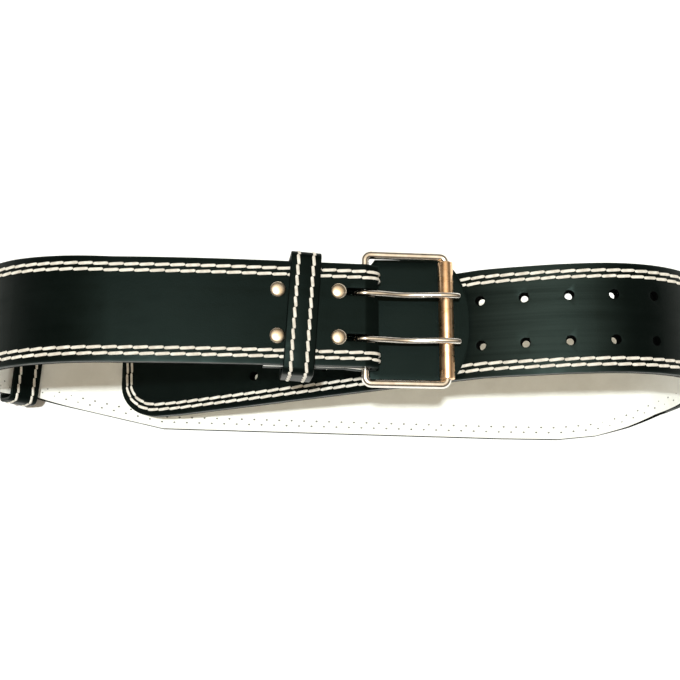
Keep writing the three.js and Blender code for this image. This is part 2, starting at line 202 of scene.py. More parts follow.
# Colours of the finishes, each from its darker to its lighter tone
LEATHER_TONES = ((0.0010, 0.0020, 0.0016), (0.0028, 0.0046, 0.0040))
# The edge's lighter colour: partly edge wear, partly painted sheen.
EDGE_WEAR_AND_SHEEN = (0.02, 0.027, 0.025)
# A painted sheen: the lighter colour of the leather near the holes in use.
PAINTED_SHEEN_LEATHER = (0.019, 0.0265, 0.0235)
LEATHER_SHEEN = (0.66, 1, 0.9)
# These near-black tones are also painted shade on the lining's edges and hole walls.
CUT_AND_SHADE_TONES = ((0.0004, 0.0006, 0.0005), (0.0010, 0.0014, 0.0012))
SUEDE_TONES = ((0.80, 0.795, 0.745), (0.90, 0.90, 0.85))
THREAD_TONES = ((0.56, 0.51, 0.44), (0.84, 0.80, 0.72))
MARK_TONES = ((0.08, 0.08, 0.075), (0.20, 0.20, 0.19))
NICKEL_TONES = ((0.78, 0.73, 0.66), (0.92, 0.89, 0.83))
RIVET_TONES = ((0.88, 0.72, 0.53), (1, 0.92, 0.78))
RUBBED_NICKEL_TONES = ((0.92, 0.58, 0.33), (0.98, 0.67, 0.42))
PAPER_TONES = ((0.93, 0.93, 0.93), (0.95, 0.95, 0.95))

# Floor and light
FLOOR_SIZE = 40
KEY_DIRECTION = Vector((-0.06, -0.07, 1))
KEY_SPREAD = 2.5
KEY_STRENGTH = 3.3
KEY_COLOUR = (0.94, 1, 1)
ROOM_OVERHEAD = (1.25, 1.04, 0.76)
ROOM_SIDES = (0.12, 0.10, 0.08)
ROOM_HORIZON = (0.95, 0.95, 0.93)

# How high the room's ceiling and its walls begin and end, as the sine of the angle above level
CEILING_HEIGHTS = (0.66, 0.97)
WALL_HEIGHTS = (0.04, 0.22)

# The belt's outline. at runs from -1 at the buckle's bar through 0 at the back's middle to 1 at the
# tip. wide is a share of the step from strap to back. lean is the centre line's shift across the
# belt, as a share of the strap's width.
OUTLINE = [
    {"at": -1.2, "wide": -0.13, "lean": 0.02},
    {"at": -1, "wide": -0.13, "lean": 0.02},
    {"at": -0.742, "wide": -0.12, "lean": 0.037},
    {"at": -0.631, "wide": -0.04, "lean": 0.07},
    {"at": -0.456, "wide": 0, "lean": 0.107},
    {"at": -0.37, "wide": 0, "lean": 0.122},
    {"at": -0.21, "wide": 1, "lean": 0.07},
    {"at": 0, "wide": 1, "lean": 0.015},
    {"at": 0.163, "wide": 1, "lean": -0.038},
    {"at": 0.217, "wide": 1, "lean": -0.047},
    {"at": 0.254, "wide": 0.86, "lean": -0.046},
    {"at": 0.285, "wide": 0.58, "lean": -0.038},
    {"at": 0.315, "wide": 0.22, "lean": -0.03},
    {"at": 0.35, "wide": 0.02, "lean": -0.015},
    {"at": 0.37, "wide": 0, "lean": 0},
    {"at": 0.457, "wide": 0, "lean": 0.053},
    {"at": 0.548, "wide": 0, "lean": 0.027},
    {"at": 0.6, "wide": 0, "lean": 0.015},
    {"at": 0.64, "wide": 0, "lean": 0.015},
    {"at": 0.733, "wide": 0, "lean": -0.023},
    {"at": 0.771, "wide": 0, "lean": -0.043},
    {"at": 0.85, "wide": 0, "lean": -0.084},
    {"at": 0.936, "wide": 0, "lean": -0.127},
    {"at": 1, "wide": 0, "lean": -0.13},
]

# Camera, as the photograph was taken
CAMERA_TARGET = Vector((0.0021, -0.0172, 0.165))
CAMERA_DISTANCE = 0.631
CAMERA_ELEVATION = 78
FOCAL_PIXELS = 1107
FRAME_PIXELS = 680
SENSOR = 36


# Small tools for modelling


def pick(piece):
    """Makes one piece the only selected and active one."""
    bpy.ops.object.select_all(action="DESELECT")
    piece.select_set(True)
    bpy.context.view_layer.objects.active = piece
    return piece


def add(primitive, **settings):
    """Adds one primitive, with nothing else selected."""
    bpy.ops.object.select_all(action="DESELECT")
    primitive(**settings)
    return bpy.context.object


def open_up():
    """Goes into edit mode with the whole piece selected."""
    bpy.ops.object.mode_set(mode="EDIT")
    bpy.ops.mesh.select_all(action="SELECT")


def modify(piece, kind, **settings):
    """Adds one modifier with its settings and applies it."""
    pick(piece)
    modifier = piece.modifiers.new(kind.lower(), kind)
    for setting, value in settings.items():
        setattr(modifier, setting, value)
    bpy.ops.object.modifier_apply(modifier=modifier.name)
    return piece


def round_edges(piece, width):
    """Rounds every edge that is sharp enough."""
    return modify(piece, "BEVEL", width=width, segments=ROUNDING_STEPS, limit_method="ANGLE",
                  angle_limit=radians(ROUNDED_FROM))


def choose(piece, kind, wanted):
    """Leaves a piece in edit mode, with only the wanted faces or edges selected."""
    bpy.ops.object.mode_set(mode="EDIT")
    bpy.ops.mesh.select_mode(type=kind)
    bpy.ops.mesh.select_all(action="DESELECT")
    bpy.ops.object.mode_set(mode="OBJECT")
    for element in piece.data.polygons if kind == "FACE" else piece.data.edges:
        element.select = wanted(element)
    bpy.ops.object.mode_set(mode="EDIT")


def join(pieces, name):
    """Joins several pieces into the first one."""
    pick(pieces[0])
    for piece in pieces[1:]:
        piece.select_set(True)
    bpy.ops.object.join()
    pieces[0].name = name
    return pieces[0]


def clear_away(*helpers):
    """Removes helpers that are no part of the belt."""
    for helper in helpers:
        bpy.data.objects.remove(helper)


def settle(piece, matrix):
    """Carries a piece to its place and leaves its object at the origin."""
    pick(piece)
    piece.matrix_world = matrix @ piece.matrix_world
    bpy.ops.object.transform_apply(location=True, rotation=True, scale=True)
    return piece


def smooth(piece, angle=SMOOTH_TO):
    """Shades a piece smooth, with its corners kept sharp."""
    pick(piece)
    bpy.ops.object.shade_smooth_by_angle(angle=radians(angle))
    return piece


def drawn_line(name, points, closed=False):
    """A curve through points, along which a flat piece can be bent."""
    curve = bpy.data.curves.new(name, "CURVE")
    curve.dimensions = "3D"
    curve.twist_mode = "MINIMUM"
    spline = curve.splines.new("POLY")
    spline.points.add(len(points) - 1)
    for spot, point in zip(spline.points, points):
        spot.co = (*point, 1)
    spline.use_cyclic_u = closed
    line = bpy.data.objects.new(name, curve)
    bpy.context.collection.objects.link(line)
    return line


def bend_along(piece, line):
    return modify(piece, "CURVE", object=line, deform_axis="POS_X")


# The loop in which the belt lies


def walk(start, rows, side):
    """Follows straight runs and arcs. A station is x, z, heading and the distance along."""
    stations = [start]
    for run, turn in rows:
        steps = max(1, ceil(abs(turn) / STEP_TURN), ceil(run / STEP_RUN))
        bend = side * radians(turn) / steps
        chord = run / steps if turn == 0 else run / steps * sin(bend / 2) / (bend / 2)
        for _ in range(steps):
            x, z, heading, along = stations[-1]
            middle = heading + bend / 2
            x, z = x + chord * cos(middle), z + chord * sin(middle)
            stations.append((x, z, heading + bend, along + run / steps))
    return stations


def arc(radius, turn):
    return radius * abs(radians(turn)), turn


lining_depth = GAP + LINING
fold_radius = BAR / 2 + BAR_CLEARANCE + lining_depth
fold_outer = fold_radius + LEATHER
ply_drop = 2 * lining_depth + GAP
pinch_radius = (2 * fold_radius - ply_drop) / (2 * (1 - cos(radians(PINCH_ANGLE))))
pinch_run = 2 * pinch_radius * sin(radians(PINCH_ANGLE))
stack_below = ply_drop + LEATHER + GAP + FLAP
flap_rise = atan((fold_outer - ROLLER_DIAMETER / 2) / BAR_SPACING)
flap_reach = BAR_SPACING + ROLLER_DIAMETER / 2 + FLAP_OVERHANG

left_rows = [
    (BACK_RUN / 2, 0),
    arc(LEFT_LOW_RADIUS, 90),
    arc(LEFT_HIGH_RADIUS, 90),
    (SAG_RUN, SAG_ANGLE),
    (BUCKLE_RUN, 0),
]
fold_rows = [
    arc(fold_radius, 180),
    arc(pinch_radius, PINCH_ANGLE),
    arc(pinch_radius, -PINCH_ANGLE),
    (PLY_END - pinch_run, 0),
]
left_start = (0, LEATHER, pi, 0)
bar_x, bar_z, bar_heading, left_run = walk(left_start, left_rows, -1)[-1]
bar_x += fold_radius * sin(bar_heading)
bar_z -= fold_radius * cos(bar_heading)
left_walk = walk(left_start, left_rows + fold_rows, -1)
turned_back = left_walk[-1][3]

flap_heading = bar_heading + flap_rise
flap_depth = LEATHER + GAP + FLAP
flap_end_x = bar_x + fold_radius * sin(bar_heading) + flap_reach * cos(flap_heading)
flap_end_x += flap_depth * sin(flap_heading)
flap_end_z = bar_z - fold_radius * cos(bar_heading) + flap_reach * sin(flap_heading)
flap_end_z -= flap_depth * cos(flap_heading)

crest_x = BACK_RUN / 2 - RIGHT_RADIUS_STEP
crest = flap_end_z - GAP + TIP_SAG_RADIUS
crest -= sqrt((TIP_SAG_RADIUS + LEATHER) ** 2 - (crest_x - flap_end_x) ** 2)
right_low_radius = (crest - LEATHER - RIGHT_RADIUS_STEP) / 2
right_high_radius = right_low_radius + RIGHT_RADIUS_STEP
tip_angle = atan2(TIP_SAG_RADIUS, TIP_RUN)
tip_angle += asin((crest - TIP_HEIGHT - TIP_SAG_RADIUS) / hypot(TIP_RUN, TIP_SAG_RADIUS))
right_rows = [
    (BACK_RUN / 2, 0),
    arc(right_low_radius, 90),
    arc(right_high_radius, 90),
    arc(TIP_SAG_RADIUS, tip_angle * 180 / pi),
    (TIP_RUN, 0),
]
right_walk = walk((0, LEATHER, 0, 0), right_rows, 1)
right_run = right_walk[-1][3]

# One path from the turned-back end to the tip, with 0 along in the middle of the back
belt_path = [(x, z, heading - pi, -along) for x, z, heading, along in left_walk[:0:-1]] + right_walk


def station_at(along):
    """The place on the leather's inner face at a distance along the belt."""
    for near, far in zip(belt_path, belt_path[1:]):
        if far[3] >= along:
            break
    share = (along - near[3]) / (far[3] - near[3])
    return [a + (b - a) * share for a, b in zip(near, far)]


def place_at(along, across):
    """Local axes at a station: X back along the belt, Y across it, Z out of the loop."""
    x, z, heading, _ = station_at(along)
    axes = Matrix((
        (-cos(heading), 0, sin(heading), x),
        (0, 1, 0, across),
        (-sin(heading), 0, -cos(heading), z),
        (0, 0, 0, 1),
    ))
    return Matrix.Translation(ORIGIN_SHIFT) @ axes


def outline_at(along, column):
    """A column of the outline's table, straight between its rows."""
    at = along / (left_run if along < 0 else right_run)
    for near, far in zip(OUTLINE, OUTLINE[1:]):
        if far["at"] >= at:
            break
    share = (at - near["at"]) / (far["at"] - near["at"])
    return near[column] + (far[column] - near[column]) * share


def lean_at(along):
    return outline_at(along, "lean") * STRAP_WIDTH


def corner_drop(distance, run, drop):
    """How much a rounded end draws in the edge, at a distance from that end."""
    share = min(max(1 - distance / run, 0), 1)
    return drop * (1 - sqrt(1 - share ** 2))


def straight_half(along):
    return (STRAP_WIDTH + outline_at(along, "wide") * (BACK_WIDTH - STRAP_WIDTH)) / 2


def belt_half(along):
    return straight_half(along) - corner_drop(right_run - along, TIP_CORNER_RUN, TIP_CORNER_DROP)


buckle_across = lean_at(-left_run)


def loop_line(name, stations):
    return drawn_line(name, [Vector((x, 0, z)) + ORIGIN_SHIFT for x, z, _, _ in stations])


# Flat leather work


def columns_between(start, end, step, keys, corner_run):
    """Distances along a strip where its mesh has a row of points, closer in its rounded end."""
    count = ceil((end - corner_run - start) / step)
    columns = [start + (end - corner_run - start) * i / count for i in range(count)]
    columns += [key for key in keys if start < key < end - corner_run]
    shares = [1 - sin(pi / 2 * i / END_COLUMNS) for i in range(END_COLUMNS + 1)]
    columns += [end - corner_run * share for share in shares]
    return sorted(columns)


def flat_strip(name, columns, half_at, middle_at, inner, outer):
    """A strip cut to its outline, lying flat with its outer face down."""
    count = len(columns) - 1
    strip = add(bpy.ops.mesh.primitive_grid_add, x_subdivisions=count,
                y_subdivisions=ROWS_ACROSS, size=2)
    strip.name = name
    for vertex in strip.data.vertices:
        along = columns[round((vertex.co.x + 1) / 2 * count)]
        across = middle_at(along) + vertex.co.y * half_at(along)
        vertex.co = (along + turned_back, across, -outer)
    return modify(strip, "SOLIDIFY", thickness=outer - inner, offset=1)


def mark_edges(strip, half_at, middle_at):
    """Notes on each point how near it is to the strip's edge, for edge wear and painted sheen."""
    edge = strip.data.attributes.new("edge", "FLOAT", "POINT")
    for vertex, note in zip(strip.data.vertices, edge.data):
        along = vertex.co.x - turned_back
        note.value = abs(vertex.co.y - middle_at(along)) / half_at(along)


def mark_painted_sheen(strip):
    """Notes on each point how much painted sheen it gets, most near the holes in use."""
    painted_sheen = strip.data.attributes.new("painted_sheen", "FLOAT", "POINT")
    middle = right_run - HOLE_START - SHEEN_COLUMN * HOLE_PITCH
    for vertex, note in zip(strip.data.vertices, painted_sheen.data):
        away = (vertex.co.x - turned_back - middle) / SHEEN_REACH
        note.value = max(1 - away ** 2, 0) ** 2


def pin(radius, length, facets):
    """A plain round pin, upright about the origin, for punches, shanks and caps."""
    return add(bpy.ops.mesh.primitive_cylinder_add, vertices=facets, radius=radius, depth=length)


def hole_places():
    """Where the holes of the belt's two rows lie on the flat strip."""
    places = []
    for column in range(HOLE_COLUMNS):
        along = right_run - HOLE_START - column * HOLE_PITCH
        for side in (-0.5, 0.5):
            across = lean_at(along) + side * ROW_SPACING
            places.append(Vector((along + turned_back, across)))
    return places


def hole_punches(diameter):
    """A punch at each hole."""
    punches = []
    for place in hole_places():
        tool = pin(diameter / 2, PUNCH_LENGTH, HOLE_FACETS)
        tool.location = (*place, 0)
        punches.append(tool)
    return punches


def slot_punches(margin):
    """Two long punches with round ends, for the slots in which the prongs turn."""
    reach = hypot(fold_outer, SLOT_REACH)
    half_length = fold_radius * pi / 2 + sqrt(reach ** 2 - (fold_radius + LEATHER / 2) ** 2)
    half_length += margin
    punches = []
    for side in (-0.5, 0.5):
        tool = pin(SLOT_WIDTH / 2 + margin, PUNCH_LENGTH, SLOT_FACETS)
        for vertex in tool.data.vertices:
            vertex.co.x += half_length * (1 if vertex.co.x > 0 else -1)
        middle = turned_back - left_run - fold_radius * pi / 2
        tool.location = (middle, buckle_across + side * ROW_SPACING, 0)
        punches.append(tool)
    return punches


def cut_belt_strip(name, inner, outer, hole_diameter, slot_margin, rounding):
    """The belt's outline as one strip, punched and with its edges rounded."""
    keys = [row["at"] * (left_run if row["at"] < 0 else right_run) for row in OUTLINE]
    columns = columns_between(-turned_back, right_run, STRAP_STEP, keys, TIP_CORNER_RUN)
    strip = flat_strip(name, columns, belt_half, lean_at, inner, outer)
    tools = join(hole_punches(hole_diameter) + slot_punches(slot_margin), "punches")
    settle(tools, Matrix.Identity(4))
    modify(strip, "BOOLEAN", object=tools, operation="DIFFERENCE", solver="EXACT")
    clear_away(tools)
    round_edges(strip, rounding)
    mark_edges(strip, belt_half, lean_at)
    return strip


def belt_leather(line):
    """The leather and its dull faces: its holes' pressed rims and the edge on which the back lies."""
    leather = cut_belt_strip("leather_belt", 0, LEATHER, HOLE_DIAMETER, 0, EDGE_ROUNDING)
    reach = HOLE_DIAMETER / 2 + EDGE_ROUNDING + LINING_GAP
    mark_painted_sheen(leather)
    on_rim = [
        any((vertex.co.xy - place).length < reach for place in hole_places())
        for vertex in leather.data.vertices
    ]

    def is_dull(face):
        on_back = abs(face.center.x - turned_back) < BACK_RUN / 2 + LEFT_LOW_RADIUS
        on_back_edge = on_back and abs(face.normal.z) < FACING
        return on_back_edge or all(on_rim[i] for i in face.vertices)

    dull = [face.index for face in leather.data.polygons if is_dull(face)]
    return smooth(bend_along(leather, line)), dull


def belt_lining(line):
    """The lining and its faces painted near-black as shade, which are all but its inner face.

    It closes in a little round each hole and is trimmed back round the slots.
    """
    lining = cut_belt_strip("suede_lining", -lining_depth, -LINING_GAP, LINED_HOLE, SLOT_TRIM,
                            LINING_ROUNDING)
    # Painted shade: all faces but the inner one, its edges and hole walls among them, take the
    # near-black finish.
    painted_shade = [face.index for face in lining.data.polygons if face.normal.z < INNER_FACING]
    return smooth(bend_along(lining, line)), painted_shade


def dye_and_shade_faces(piece, faces, material):
    """Gives some faces of a piece a second material."""
    piece.data.materials.append(material)
    for index in faces:
        piece.data.polygons[index].material_index = 1


def flap_line(leaving):
    """The turned-back ply to where the flap leaves it, then a straight reach under the buckle."""
    ply = [station for station in belt_path if station[3] <= leaving + SAME_PLACE]
    x, z, heading, along = ply[-1]
    reach = walk((x, z, heading + flap_rise, along), [(flap_reach, 0)], 1)
    return loop_line("flap_line", ply + reach[1:])


def buckle_flap():
    """The plain flap under the buckle, with its neck, its width and its round end."""
    leaving = -left_run - fold_radius * pi
    end = leaving + flap_reach

    def half_at(along):
        share = (along - leaving - FLAP_NECK_START) / (FLAP_NECK_END - FLAP_NECK_START)
        share = min(max(share, 0), 1)
        half = (FLAP_NECK_WIDTH + (FLAP_WIDTH - FLAP_NECK_WIDTH) * share) / 2
        return half - corner_drop(end - along, FLAP_END_RUN, FLAP_WIDTH / 2 - FLAP_END_FLAT)

    def middle_at(along):
        return buckle_across

    keys = [leaving, leaving + FLAP_NECK_START, leaving + FLAP_NECK_END]
    columns = columns_between(-turned_back, end, FLAP_STEP, keys, FLAP_END_RUN)
    out = LEATHER + GAP
    flap = flat_strip("flap", columns, half_at, middle_at, out, out + FLAP)
    round_edges(flap, EDGE_ROUNDING)
    mark_edges(flap, half_at, middle_at)
    line = flap_line(leaving)
    bend_along(flap, line)
    clear_away(line)
    return smooth(flap)


# Stitching


def one_stitch(length, slant):
    """A short flattened bar of thread from the origin along X, with drawn-in ends.

    Its body is drawn out in parts, so that it can lie round a bend.
    """
    stitch = add(bpy.ops.mesh.primitive_cylinder_add, vertices=STITCH_FACETS, radius=0.5, depth=1,
                 end_fill_type="TRIFAN", rotation=(0, pi / 2, 0))
    bpy.ops.object.transform_apply(location=False, rotation=True, scale=False)
    open_up()
    end = length * STITCH_END_SHARE
    part = (length - 2 * end) / STITCH_PARTS
    bpy.ops.transform.resize(value=(part, STITCH_WIDTH, STITCH_HEIGHT))
    for side, moves in ((-1, [end]), (1, [part] * (STITCH_PARTS - 1) + [end])):
        choose(stitch, "FACE", lambda face: face.normal.x * side > FACING)
        for move in moves:
            bpy.ops.mesh.extrude_region_move(TRANSFORM_OT_translate={"value": (side * move, 0, 0)})
        bpy.ops.transform.resize(value=(1, STITCH_END_WIDTH, STITCH_END_WIDTH))
    bpy.ops.mesh.select_all(action="SELECT")
    bpy.ops.transform.translate(value=(part / 2 + end, 0, 0))
    middle = (length / 2, 0, 0)
    bpy.ops.transform.rotate(value=radians(slant), orient_axis="Z", center_override=middle)
    bpy.ops.object.mode_set(mode="OBJECT")
    return stitch


def repeat_along(piece, line, pitch):
    """A piece repeated along a line and laid down on it."""
    modify(piece, "ARRAY", fit_type="FIT_CURVE", curve=line, use_relative_offset=False,
           use_constant_offset=True, constant_offset_displace=(pitch, 0, 0))
    return bend_along(piece, line)


def thread_height(along):
    """Where the middle of the thread lies: on the outer face, or pressed into it by the floor."""
    off_floor = min(max((abs(along) - BACK_RUN / 2) / PRESSED_FADE, 0), 1)
    return -LEATHER + (STITCH_HEIGHT / 2 - PRESSED_RISE) * (1 - off_floor)


def mark_height(along):
    """The needle marks lie on the lining's inner face."""
    return lining_depth


def row_points(inset, height_at):
    """The line of a row of stitches: down one edge, round the tip and back up the other edge."""
    start, turn = -turned_back + inset, right_run - TIP_CORNER_RUN
    edge_steps, corner_steps = 400, 24
    edge = [start + (turn - start) * i / edge_steps for i in range(edge_steps)]
    edge = [(s, straight_half(s) - inset) for s in edge]
    corner = []
    half = straight_half(right_run)
    for i in range(corner_steps + 1):
        angle = pi / 2 * i / corner_steps
        along = turn + (TIP_CORNER_RUN - inset) * sin(angle)
        across = half - TIP_CORNER_DROP + (TIP_CORNER_DROP - inset) * cos(angle)
        corner.append((along, across))
    near_side = edge + corner
    points = [(s + turned_back, lean_at(s) - y, height_at(s)) for s, y in near_side]
    points += [(s + turned_back, lean_at(s) + y, height_at(s)) for s, y in reversed(near_side)]
    return points


def one_mark():
    """The small flat dimple of one needle hole."""
    mark = add(bpy.ops.mesh.primitive_uv_sphere_add, segments=MARK_FACETS,
               ring_count=MARK_FACETS // 2, radius=1)
    open_up()
    bpy.ops.transform.resize(value=NEEDLE_MARK)
    bpy.ops.object.mode_set(mode="OBJECT")
    return mark


def edge_rows(name, loop, make_one, height_at):
    """Two rows of one small piece along the belt's edges and round its tip."""
    rows = []
    for inset in STITCH_INSETS:
        line = drawn_line("row", row_points(inset, height_at))
        rows.append(repeat_along(make_one(), line, STITCH_PITCH))
        clear_away(line)
    return smooth(bend_along(join(rows, name), loop), THREAD_SMOOTH_TO)


def belt_stitching(loop):
    """The thread along the belt's edges and round its tip."""
    def belt_stitch():
        return one_stitch(STITCH_LENGTH, STITCH_SLANT)

    return edge_rows("stitching", loop, belt_stitch, thread_height)


def needle_marks(loop):
    """The small dark marks that the needle leaves in the lining, under each stitch's end."""
    return edge_rows("needle_marks", loop, one_mark, mark_height)


# Keepers


def rounded_rectangle(half_wide, half_high, corner):
    """The outline of a rounded rectangle about the origin, corner by corner."""
    points = []
    for side, end, start in ((1, -1, -90), (1, 1, 0), (-1, 1, 90), (-1, -1, 180)):
        for i in range(CORNER_STEPS + 1):
            angle = radians(start + 90 * i / CORNER_STEPS)
            wide = side * (half_wide - corner) + corner * cos(angle)
            points.append((wide, end * (half_high - corner) + corner * sin(angle)))
    return points


def keeper_band(name, half, low, high, width):
    """A leather loop with rounded corners and rounded edges, open along X."""
    band = add(bpy.ops.mesh.primitive_cube_add, size=1, location=(0, 0, (low + high) / 2))
    band.name = name
    band.scale = (width, 2 * half, high - low)
    bpy.ops.object.transform_apply(location=True, rotation=True, scale=True)
    choose(band, "FACE", lambda face: abs(face.normal.x) > FACING)
    bpy.ops.mesh.delete(type="FACE")

    def runs_along(edge):
        start, end = (band.data.vertices[i].co for i in edge.vertices)
        return abs(start.x - end.x) > width / 2

    choose(band, "EDGE", runs_along)
    inner_corner = KEEPER_CORNER - KEEPER_LEATHER
    bpy.ops.mesh.bevel(offset=inner_corner, segments=KEEPER_CORNER_STEPS)
    bpy.ops.object.mode_set(mode="OBJECT")
    modify(band, "SOLIDIFY", thickness=KEEPER_LEATHER, offset=1)
    return round_edges(band, KEEPER_ROUNDING)


def keeper(name, size, low, high, along):
    """A keeper with its two rows of stitches, at its place on the belt."""
    band = keeper_band(name, size["half"], low, high, size["width"])
    rows = []
    reach = size["width"] / 2 - KEEPER_STITCH_INSET
    middle, half_high = (low + high) / 2, (high - low) / 2 + KEEPER_LEATHER
    outline = rounded_rectangle(size["half"] + KEEPER_LEATHER, half_high, KEEPER_CORNER)
    for x in (-reach, reach):
        line = drawn_line("row", [(x, y, middle + z) for y, z in outline], closed=True)
        stitch = one_stitch(KEEPER_STITCH_LENGTH, KEEPER_STITCH_SLANT)
        rows.append(repeat_along(stitch, line, KEEPER_STITCH_PITCH))
        clear_away(line)
    thread = join(rows, name + "_stitching")
    place = place_at(along, lean_at(along)) @ Matrix.Rotation(radians(size["turn"]), 4, "Z")
    settle(smooth(band), place)
    settle(smooth(thread, THREAD_SMOOTH_TO), place)
    return band, thread


def front_keeper():
    low, high = -stack_below - FRONT_KEEPER["slack"], LEATHER + GAP
    return keeper("front_keeper", FRONT_KEEPER, low, high, -left_run + FRONT_KEEPER["from_bar"])


def rear_keeper():
    """The belt bends inside this keeper, so its flat side stands off by the bend's rise."""
    face_radius = LEFT_LOW_RADIUS - lining_depth
    reach = REAR_KEEPER["width"] / 2 + REAR_KEEPER["half"] * sin(radians(REAR_KEEPER["turn"]))
    bend_rise = face_radius - sqrt(face_radius ** 2 - reach ** 2)
    low, high = -lining_depth - GAP - bend_rise, LEATHER + REAR_KEEPER["slack"]
    return keeper("rear_keeper", REAR_KEEPER, low, high, REAR_KEEPER["at"] * left_run)


# Buckle and rivets


def buckle_place():
    """The buckle's local axes: X towards the roller, Z outwards, with the bar at the origin."""
    turn = Matrix.Rotation(-bar_heading, 4, "Y")
    spot = Vector((bar_x, buckle_across, bar_z)) + ORIGIN_SHIFT
    return Matrix.Translation(spot) @ turn


def wire(name, points, radius, closed=False, ends=()):
    """Round wire along a line, made a mesh. ends gives the share of the radius at the last points."""
    line = drawn_line(name, points, closed)
    line.data.bevel_depth = radius
    line.data.bevel_resolution = WIRE_ROUNDNESS
    line.data.use_fill_caps = not closed
    for spot, share in zip(reversed(line.data.splines[0].points), reversed(ends)):
        spot.radius = share
    pick(line)
    bpy.ops.object.convert(target="MESH")
    return bpy.context.object


def buckle_frame():
    """A rectangle of round wire with tight corners."""
    half_x, half_y = BAR_SPACING / 2, (FRAME_HEIGHT - BAR) / 2
    outline = rounded_rectangle(half_x, half_y, FRAME_CORNER - BAR / 2)
    return wire("frame_wire", [(half_x + x, y, 0) for x, y in outline], BAR / 2, closed=True)


def roller():
    """A rolled tube with rounded lips, turning on the frame's far bar."""
    length = FRAME_HEIGHT - 2 * BAR - 2 * ROLLER_END_ROOM
    tube = add(bpy.ops.mesh.primitive_cylinder_add, vertices=ROLLER_FACETS,
               radius=ROLLER_DIAMETER / 2, depth=length, end_fill_type="NOTHING",
               location=(BAR_SPACING, 0, 0), rotation=(pi / 2, 0, 0))
    tube.name = "roller_tube"
    bpy.ops.object.transform_apply(location=True, rotation=True, scale=True)
    wall = ROLLER_DIAMETER / 2 - BAR / 2 - BAR_CLEARANCE
    modify(tube, "SOLIDIFY", thickness=wall, offset=-1)
    return round_edges(tube, ROLLER_ROUNDING)


def prong(name, side):
    """One wire: nearly a full turn round the bar, then a dip and a rise over the roller."""
    radius = PRONG_WIRE / 2
    ring = BAR / 2 + PRONG_CLEARANCE + radius
    top = ROLLER_DIAMETER / 2 + GAP + radius
    across = side * ROW_SPACING
    points = []
    for i in range(EYE_STEPS + 1):
        turned = EYE_START + (EYE_END - EYE_START) * i / EYE_STEPS
        angle = radians(-turned)
        widened = min(max((turned - EYE_WIDENS) / (EYE_WIDE - EYE_WIDENS), 0), 1)
        reach = ring + EYE_RISE * widened
        points.append((reach * cos(angle), across, reach * sin(angle)))
    over = BAR_SPACING + ROLLER_DIAMETER / 2
    nearly_top = top - PRONG_DIP / 3
    knots = [
        (0, ring + EYE_RISE),
        (BAR_SPACING * PRONG_LEAVES, ring + EYE_RISE / 2),
        (BAR_SPACING * PRONG_LOWEST, ring - PRONG_DIP),
        (BAR_SPACING * PRONG_RISEN, nearly_top),
        (BAR_SPACING, top),
        (over, nearly_top),
        (over + PRONG_OVERHANG, top - PRONG_DIP),
    ]
    points += [(x, across, z) for x, z in smooth_run(knots, PRONG_STEPS)[1:]]
    return wire(name, points, radius, ends=PRONG_POINT)


def smooth_run(knots, steps):
    """A line that passes smoothly through its knots."""
    line = []
    padded = [knots[0], *knots, knots[-1]]
    for a, b, c, d in zip(padded, padded[1:], padded[2:], padded[3:]):
        for i in range(steps):
            t = i / steps
            line.append(tuple(
                0.5 * (2 * b[k] + (c[k] - a[k]) * t
                       + (2 * a[k] - 5 * b[k] + 4 * c[k] - d[k]) * t * t
                       + (3 * b[k] - a[k] - 3 * c[k] + d[k]) * t ** 3)
                for k in (0, 1)
            ))
    return line + [knots[-1]]


def rivet(name, from_bar, side):
    """A domed head with a thin rim, a shank through the leather, and a flat cap behind."""
    seat = LEATHER + GAP / 2
    half = RIVET_HEAD / 2
    dome = RIVET_DOME / (1 + RIVET_RIM)
    head = add(bpy.ops.mesh.primitive_uv_sphere_add, segments=RIVET_FACETS,
               ring_count=RIVET_FACETS // 2, radius=1)
    head.name = name
    open_up()
    bpy.ops.mesh.bisect(plane_co=(0, 0, 0), plane_no=(0, 0, 1), clear_inner=True, use_fill=True)
    bpy.ops.mesh.extrude_region_move(TRANSFORM_OT_translate={"value": (0, 0, -RIVET_RIM)})
    bpy.ops.mesh.select_all(action="SELECT")
    bpy.ops.transform.resize(value=(half, half, dome), center_override=(0, 0, 0))
    bpy.ops.transform.translate(value=(0, 0, seat + dome * RIVET_RIM))
    bpy.ops.object.mode_set(mode="OBJECT")
    under = -stack_below - GAP
    shank = pin(RIVET_SHANK / 2, seat - under + GAP, SHANK_FACETS)
    settle(shank, Matrix.Translation((0, 0, (seat + under) / 2)))
    cap = pin(half, RIVET_CAP, RIVET_FACETS)
    settle(cap, Matrix.Translation((0, 0, under - RIVET_CAP / 2)))
    round_edges(cap, RIVET_ROUNDING)
    whole = join([head, shank, cap], name)
    place = place_at(-left_run + from_bar, buckle_across + side * ROW_SPACING)
    return settle(smooth(whole), place)


# Finishes


def blank_finish(name):
    """A new material with its surface shader and its object coordinates."""
    material = bpy.data.materials.new(name)
    material.use_nodes = True
    nodes = material.node_tree.nodes
    surface = nodes["Principled BSDF"]
    place = nodes.new("ShaderNodeTexCoord").outputs["Object"]
    return material, surface, place


def wire_up(material, source, target):
    material.node_tree.links.new(source, target)


def noise(material, place, scale, detail=4, roughness=0.5):
    """A cloudy pattern, as a number from 0 to 1."""
    node = material.node_tree.nodes.new("ShaderNodeTexNoise")
    node.inputs["Scale"].default_value = scale
    node.inputs["Detail"].default_value = detail
    node.inputs["Roughness"].default_value = roughness
    wire_up(material, place, node.inputs["Vector"])
    return node.outputs["Fac"]


def stretch(material, place, scales):
    """Coordinates scaled along each axis, for patterns that run one way."""
    node = material.node_tree.nodes.new("ShaderNodeMapping")
    node.inputs["Scale"].default_value = scales
    wire_up(material, place, node.inputs["Vector"])
    return node.outputs["Vector"]


